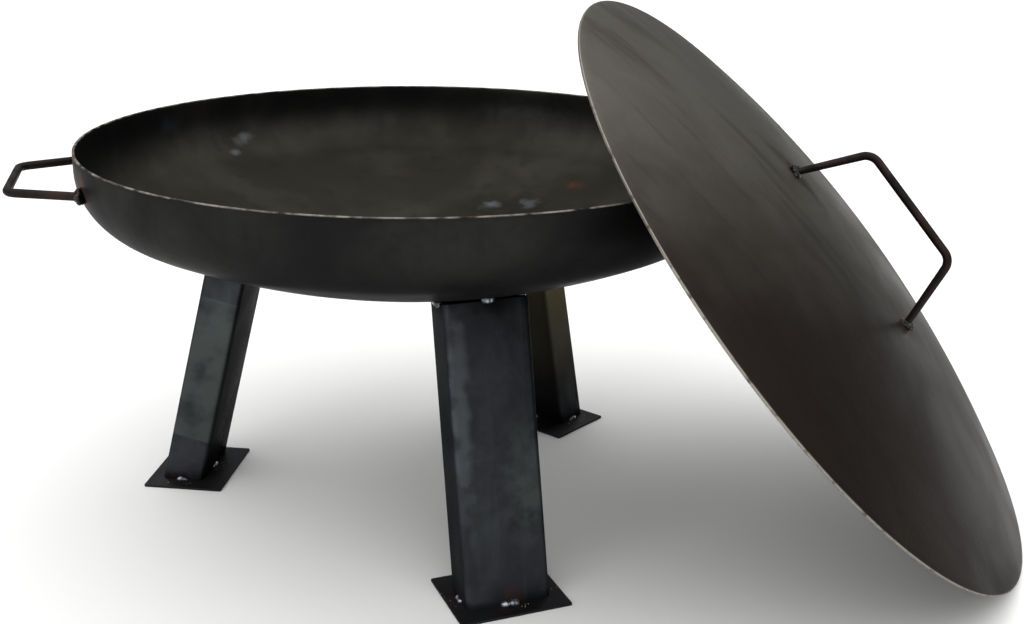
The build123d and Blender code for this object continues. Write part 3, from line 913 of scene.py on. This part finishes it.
class FIREBOWL_OT_lid(bpy.types.Operator):
    """Turn the shallow dome, give it its sheet thickness and lean it on the rim"""

    bl_idname = "firebowl.lid"
    bl_label = "Lid"

    def execute(self, context):
        s = sizes()
        radius, drop = lid_sphere()
        edge_angle = math.asin(s.lid_radius / radius)
        dome_steps = 40
        profile = []
        for i in range(dome_steps + 1):
            turn = edge_angle * i / dome_steps
            profile.append((radius * math.sin(turn), radius * math.cos(turn) - drop))
        lid = lathe("lid_dome", profile)
        face_away(lid, Vector((0, 0, -drop)))
        uneven(lid, -s.sheet_wave, span=0.2, seed=7.7, edge=0.0, settled=0.02)
        modify(lid, "SOLIDIFY", thickness=s.sheet, offset=-1, use_even_offset=True)
        settle(lid, lid_place())
        round_edges(lid, s.lid_edge_round, 2)
        finish_piece(lid, "lid", lid_steel(), "lid")
        return {"FINISHED"}


class FIREBOWL_OT_legs(bpy.types.Operator):
    """Cut the three box-section legs square at the top and level at the foot"""

    bl_idname = "firebowl.legs"
    bl_label = "Legs"

    def execute(self, context):
        s = sizes()
        overrun = s.leg_depth
        for name in LEG_SETTINGS:
            length = leg_length(name)
            block = (s.leg_depth, s.leg_width, length + overrun)
            leg = new_block(f"box_leg_{name}", block, (length - overrun) / 2)
            pick(leg, "FACE", lambda face: abs(face.normal.z) > 0.9)
            bpy.ops.mesh.delete(type="FACE")
            pick(leg, "EDGE", climbs(overrun))
            bpy.ops.mesh.bevel(offset=s.leg_corner, segments=6, affect="EDGES")
            pick(leg, "EDGE", climbs(overrun))
            bpy.ops.mesh.subdivide(number_cuts=24)
            settle(leg, leg_place(name))
            bpy.ops.object.mode_set(mode="EDIT")
            bpy.ops.mesh.select_all(action="SELECT")
            bpy.ops.mesh.bisect(plane_co=(0, 0, s.plate_thickness), plane_no=(0, 0, 1), clear_inner=True)
            bpy.ops.object.mode_set(mode="OBJECT")
            modify(leg, "SOLIDIFY", thickness=s.leg_wall, offset=-1, use_even_offset=True)
            round_edges(leg, s.leg_cut_round, 2)
            finish_piece(leg, "fire_bowl", leg_steel(name), f"leg_{name}")
        return {"FINISHED"}


class FIREBOWL_OT_foot_plates(bpy.types.Operator):
    """Cut the three foot plates from thin flat and round their sheared edges"""

    bl_idname = "firebowl.foot_plates"
    bl_label = "Foot plates"

    def execute(self, context):
        s = sizes()
        material = plate_steel()
        for name, (azimuth, _, floor_radius, inset, slip, twist) in LEG_SETTINGS.items():
            block = (s.plate_depth, s.plate_width, s.plate_thickness)
            plate = new_block(f"foot_plate_sheared_{name}", block, s.plate_thickness / 2)
            pick(plate, "EDGE", climbs(MM))
            bpy.ops.mesh.bevel(offset=s.plate_corner, segments=3, affect="EDGES")
            bpy.ops.object.mode_set(mode="OBJECT")
            out, across = level(math.radians(azimuth)), level(math.radians(azimuth + 90))
            middle = bowl_place()[0] + (out * (floor_radius - inset) + across * slip) * MM
            settle(plate, frame_matrix(middle, level(math.radians(azimuth + twist)), Vector((0, 0, 1))))
            round_edges(plate, s.plate_edge, 2)
            finish_piece(plate, "fire_bowl", material, f"foot_plate_{name}")
        return {"FINISHED"}


class FIREBOWL_OT_handles(bpy.types.Operator):
    """Bend the bowl's two handles and the lid's handle from round bar"""

    bl_idname = "firebowl.handles"
    bl_label = "Handles"

    def execute(self, context):
        s = sizes()
        material = bar_steel()
        rows = [("lid", lid_handle_corners(2 * s.weld_sink), "lid", "lid_handle", off_lid)]
        for name in BOWL_HANDLE_AZIMUTHS:
            corners = bowl_handle_corners(name, 2 * s.weld_sink)
            rows.append((name, corners, "fire_bowl", f"bowl_handle_{name}", off_bowl))
        for name, corners, body, node, surface in rows:
            bar = bent_bar(f"bar_handle_{name}", corners, s.bar_radius, s.bar_bend)
            keep_in_sheet(bar, surface)
            choose(bar)
            bpy.ops.object.shade_smooth_by_angle(angle=SMOOTH_CORNER)
            finish_piece(bar, body, material, node)
        return {"FINISHED"}


class FIREBOWL_OT_welds(bpy.types.Operator):
    """Lay the tack welds at the legs' ends and the welds round the handles' roots"""

    bl_idname = "firebowl.welds"
    bl_label = "Welds"

    def execute(self, context):
        s = sizes()
        c = colours()
        material = weld_metal("weld_bead_bright", c.weld_grey, 0.5)
        for order, name in enumerate(LEG_SETTINGS):
            rng = random.Random(40 + order)
            tops, feet = leg_tacks(name)
            up = Vector((0, 0, 1))
            blobs = []
            for middle, way in tops:
                along = up.cross(way).normalized()
                blobs += bead_blobs(middle + up * MM, along, s.top_tack, s.tack_radius, rng)
            tacks = melted(f"leg_tacks_{name}", blobs)
            keep_in_sheet(tacks, off_bowl)
            finish_piece(tacks, "fire_bowl", material, f"leg_welds_{name}")

            blobs = []
            for i, (middle, way) in enumerate(feet):
                # The tack on the leg's outer face is the longest
                share = 1.0 if i == 0 else 0.7
                along = up.cross(way).normalized()
                radius = s.tack_radius * (0.5 + share / 2)
                blobs += bead_blobs(middle, along, s.foot_tack * share, radius, rng)
                for _ in range(s.spatter):
                    drop = middle + way * rng.uniform(6, 16) * MM + along * rng.uniform(-20, 20) * MM
                    blobs.append((drop, rng.uniform(0.6, 1.1) * MM))
            tacks = melted(f"foot_tacks_{name}", blobs)
            bpy.ops.object.mode_set(mode="EDIT")
            bpy.ops.mesh.select_all(action="SELECT")
            inside_plate = (0, 0, s.plate_thickness / 2)
            bpy.ops.mesh.bisect(plane_co=inside_plate, plane_no=up, clear_inner=True, use_fill=True)
            bpy.ops.object.mode_set(mode="OBJECT")
            finish_piece(tacks, "fire_bowl", material, f"foot_welds_{name}")

        material = weld_metal("weld_bead_scaled", c.scale_grey, 0.3)
        rows = [("lid", lid_handle_corners(), "lid", "lid_handle_welds", off_lid)]
        for name in BOWL_HANDLE_AZIMUTHS:
            corners = bowl_handle_corners(name)
            rows.append((name, corners, "fire_bowl", f"bowl_handle_welds_{name}", off_bowl))
        for order, (name, corners, body, node, surface) in enumerate(rows):
            rng = random.Random(80 + order)
            blobs = []
            for foot, grip in ((corners[0], corners[1]), (corners[3], corners[2])):
                blobs += root_blobs(foot, (grip - foot).normalized(), s.bar_radius, rng)
            welds = melted(f"root_welds_{name}", blobs)
            keep_in_sheet(welds, surface)
            finish_piece(welds, body, material, node)
        return {"FINISHED"}


class FIREBOWL_OT_stage(bpy.types.Operator):
    """Set the pale floor, the soft studio light and the camera"""

    bl_idname = "firebowl.stage"
    bl_label = "Stage"

    def execute(self, context):
        scene = context.scene
        scene.view_settings.view_transform = "Standard"
        floor = new_piece("studio_floor", bpy.ops.mesh.primitive_plane_add, size=60)
        paint = bpy.data.materials.new("pale_studio_floor")
        paint.use_nodes = True
        shader = paint.node_tree.nodes["Principled BSDF"]
        shader.inputs["Base Color"].default_value = colours().floor
        shader.inputs["Roughness"].default_value = 0.9
        shader.inputs["Specular IOR Level"].default_value = 0.1
        floor.data.materials.append(paint)

        # A dome of soft light, dim near the horizon and bright overhead
        world = bpy.data.worlds.new("studio")
        scene.world = world
        world.use_nodes = True
        tree = world.node_tree
        ways = add_node(tree, "ShaderNodeTexCoord").outputs["Generated"]
        height = add_node(tree, "ShaderNodeSeparateXYZ", {"Vector": ways}).outputs["Z"]
        inputs = {"Value": height, "From Min": 0.0, "From Max": 0.85, "To Min": 0.1, "To Max": 1.75}
        rise = add_node(tree, "ShaderNodeMapRange", inputs, interpolation_type="SMOOTHSTEP")
        tree.links.new(rise.outputs["Result"], tree.nodes["Background"].inputs["Strength"])
        tree.nodes["Background"].inputs["Color"].default_value = (1, 1, 1, 1)

        light = bpy.data.lights.new("left_softbox", "AREA")
        light.shape = "SQUARE"
        light.size = 1.0
        light.energy = 9
        lamp = bpy.data.objects.new("left_softbox", light)
        lamp.location = (-2.5, -2.6, 1.1)
        target = bowl_place()[0] + Vector((0.1, 0, 0.3))
        lamp.rotation_euler = (target - lamp.location).to_track_quat("-Z", "Y").to_euler()
        scene.collection.objects.link(lamp)

        camera = bpy.data.cameras.new("camera")
        camera.sensor_width = 36.0
        camera.lens = 45.97
        camera.shift_x = 0.0312
        camera.shift_y = -0.0498
        pan, tilt, roll = 0.02122, 0.28488, 0.01132
        ahead = Vector((math.sin(pan) * math.cos(tilt), math.cos(pan) * math.cos(tilt), -math.sin(tilt)))
        right = Matrix.Rotation(-roll, 3, ahead) @ Vector((math.cos(pan), -math.sin(pan), 0))
        eye = bowl_place()[0] + Vector((48.52, -1573.61, 763.49)) * MM
        viewer = bpy.data.objects.new("camera", camera)
        viewer.matrix_world = frame_matrix(eye, right, -ahead)
        scene.collection.objects.link(viewer)
        scene.camera = viewer
        return {"FINISHED"}


class FIREBOWL_PT_panel(bpy.types.Panel):
    """Lists the fire bowl's pieces, sizes and colours"""

    bl_idname = "FIREBOWL_PT_panel"
    bl_label = "Fire Bowl"
    bl_space_type = "VIEW_3D"
    bl_region_type = "UI"
    bl_category = "Fire Bowl"

    def draw(self, context):
        for step in STEPS:
            self.layout.operator(step.bl_idname)
        for group in (sizes(), colours()):
            for key in group.__annotations__:
                self.layout.prop(group, key, text=key.replace("_", " ").capitalize())


STEPS = (
    FIREBOWL_OT_bowl,
    FIREBOWL_OT_lid,
    FIREBOWL_OT_legs,
    FIREBOWL_OT_foot_plates,
    FIREBOWL_OT_handles,
    FIREBOWL_OT_welds,
    FIREBOWL_OT_stage,
)
CLASSES = (FireBowlSizes, FireBowlColours, *STEPS, FIREBOWL_PT_panel)


def register():
    for item in CLASSES:
        bpy.utils.register_class(item)
    bpy.types.Scene.fire_bowl_sizes = PointerProperty(type=FireBowlSizes)
    bpy.types.Scene.fire_bowl_colours = PointerProperty(type=FireBowlColours)


def unregister():
    del bpy.types.Scene.fire_bowl_colours
    del bpy.types.Scene.fire_bowl_sizes
    for item in reversed(CLASSES):
        bpy.utils.unregister_class(item)


def main():
    register()
    bpy.ops.firebowl.bowl()
    bpy.ops.firebowl.lid()
    bpy.ops.firebowl.legs()
    bpy.ops.firebowl.foot_plates()
    bpy.ops.firebowl.handles()
    bpy.ops.firebowl.welds()
    bpy.ops.firebowl.stage()


if __name__ == "__main__":
    main()
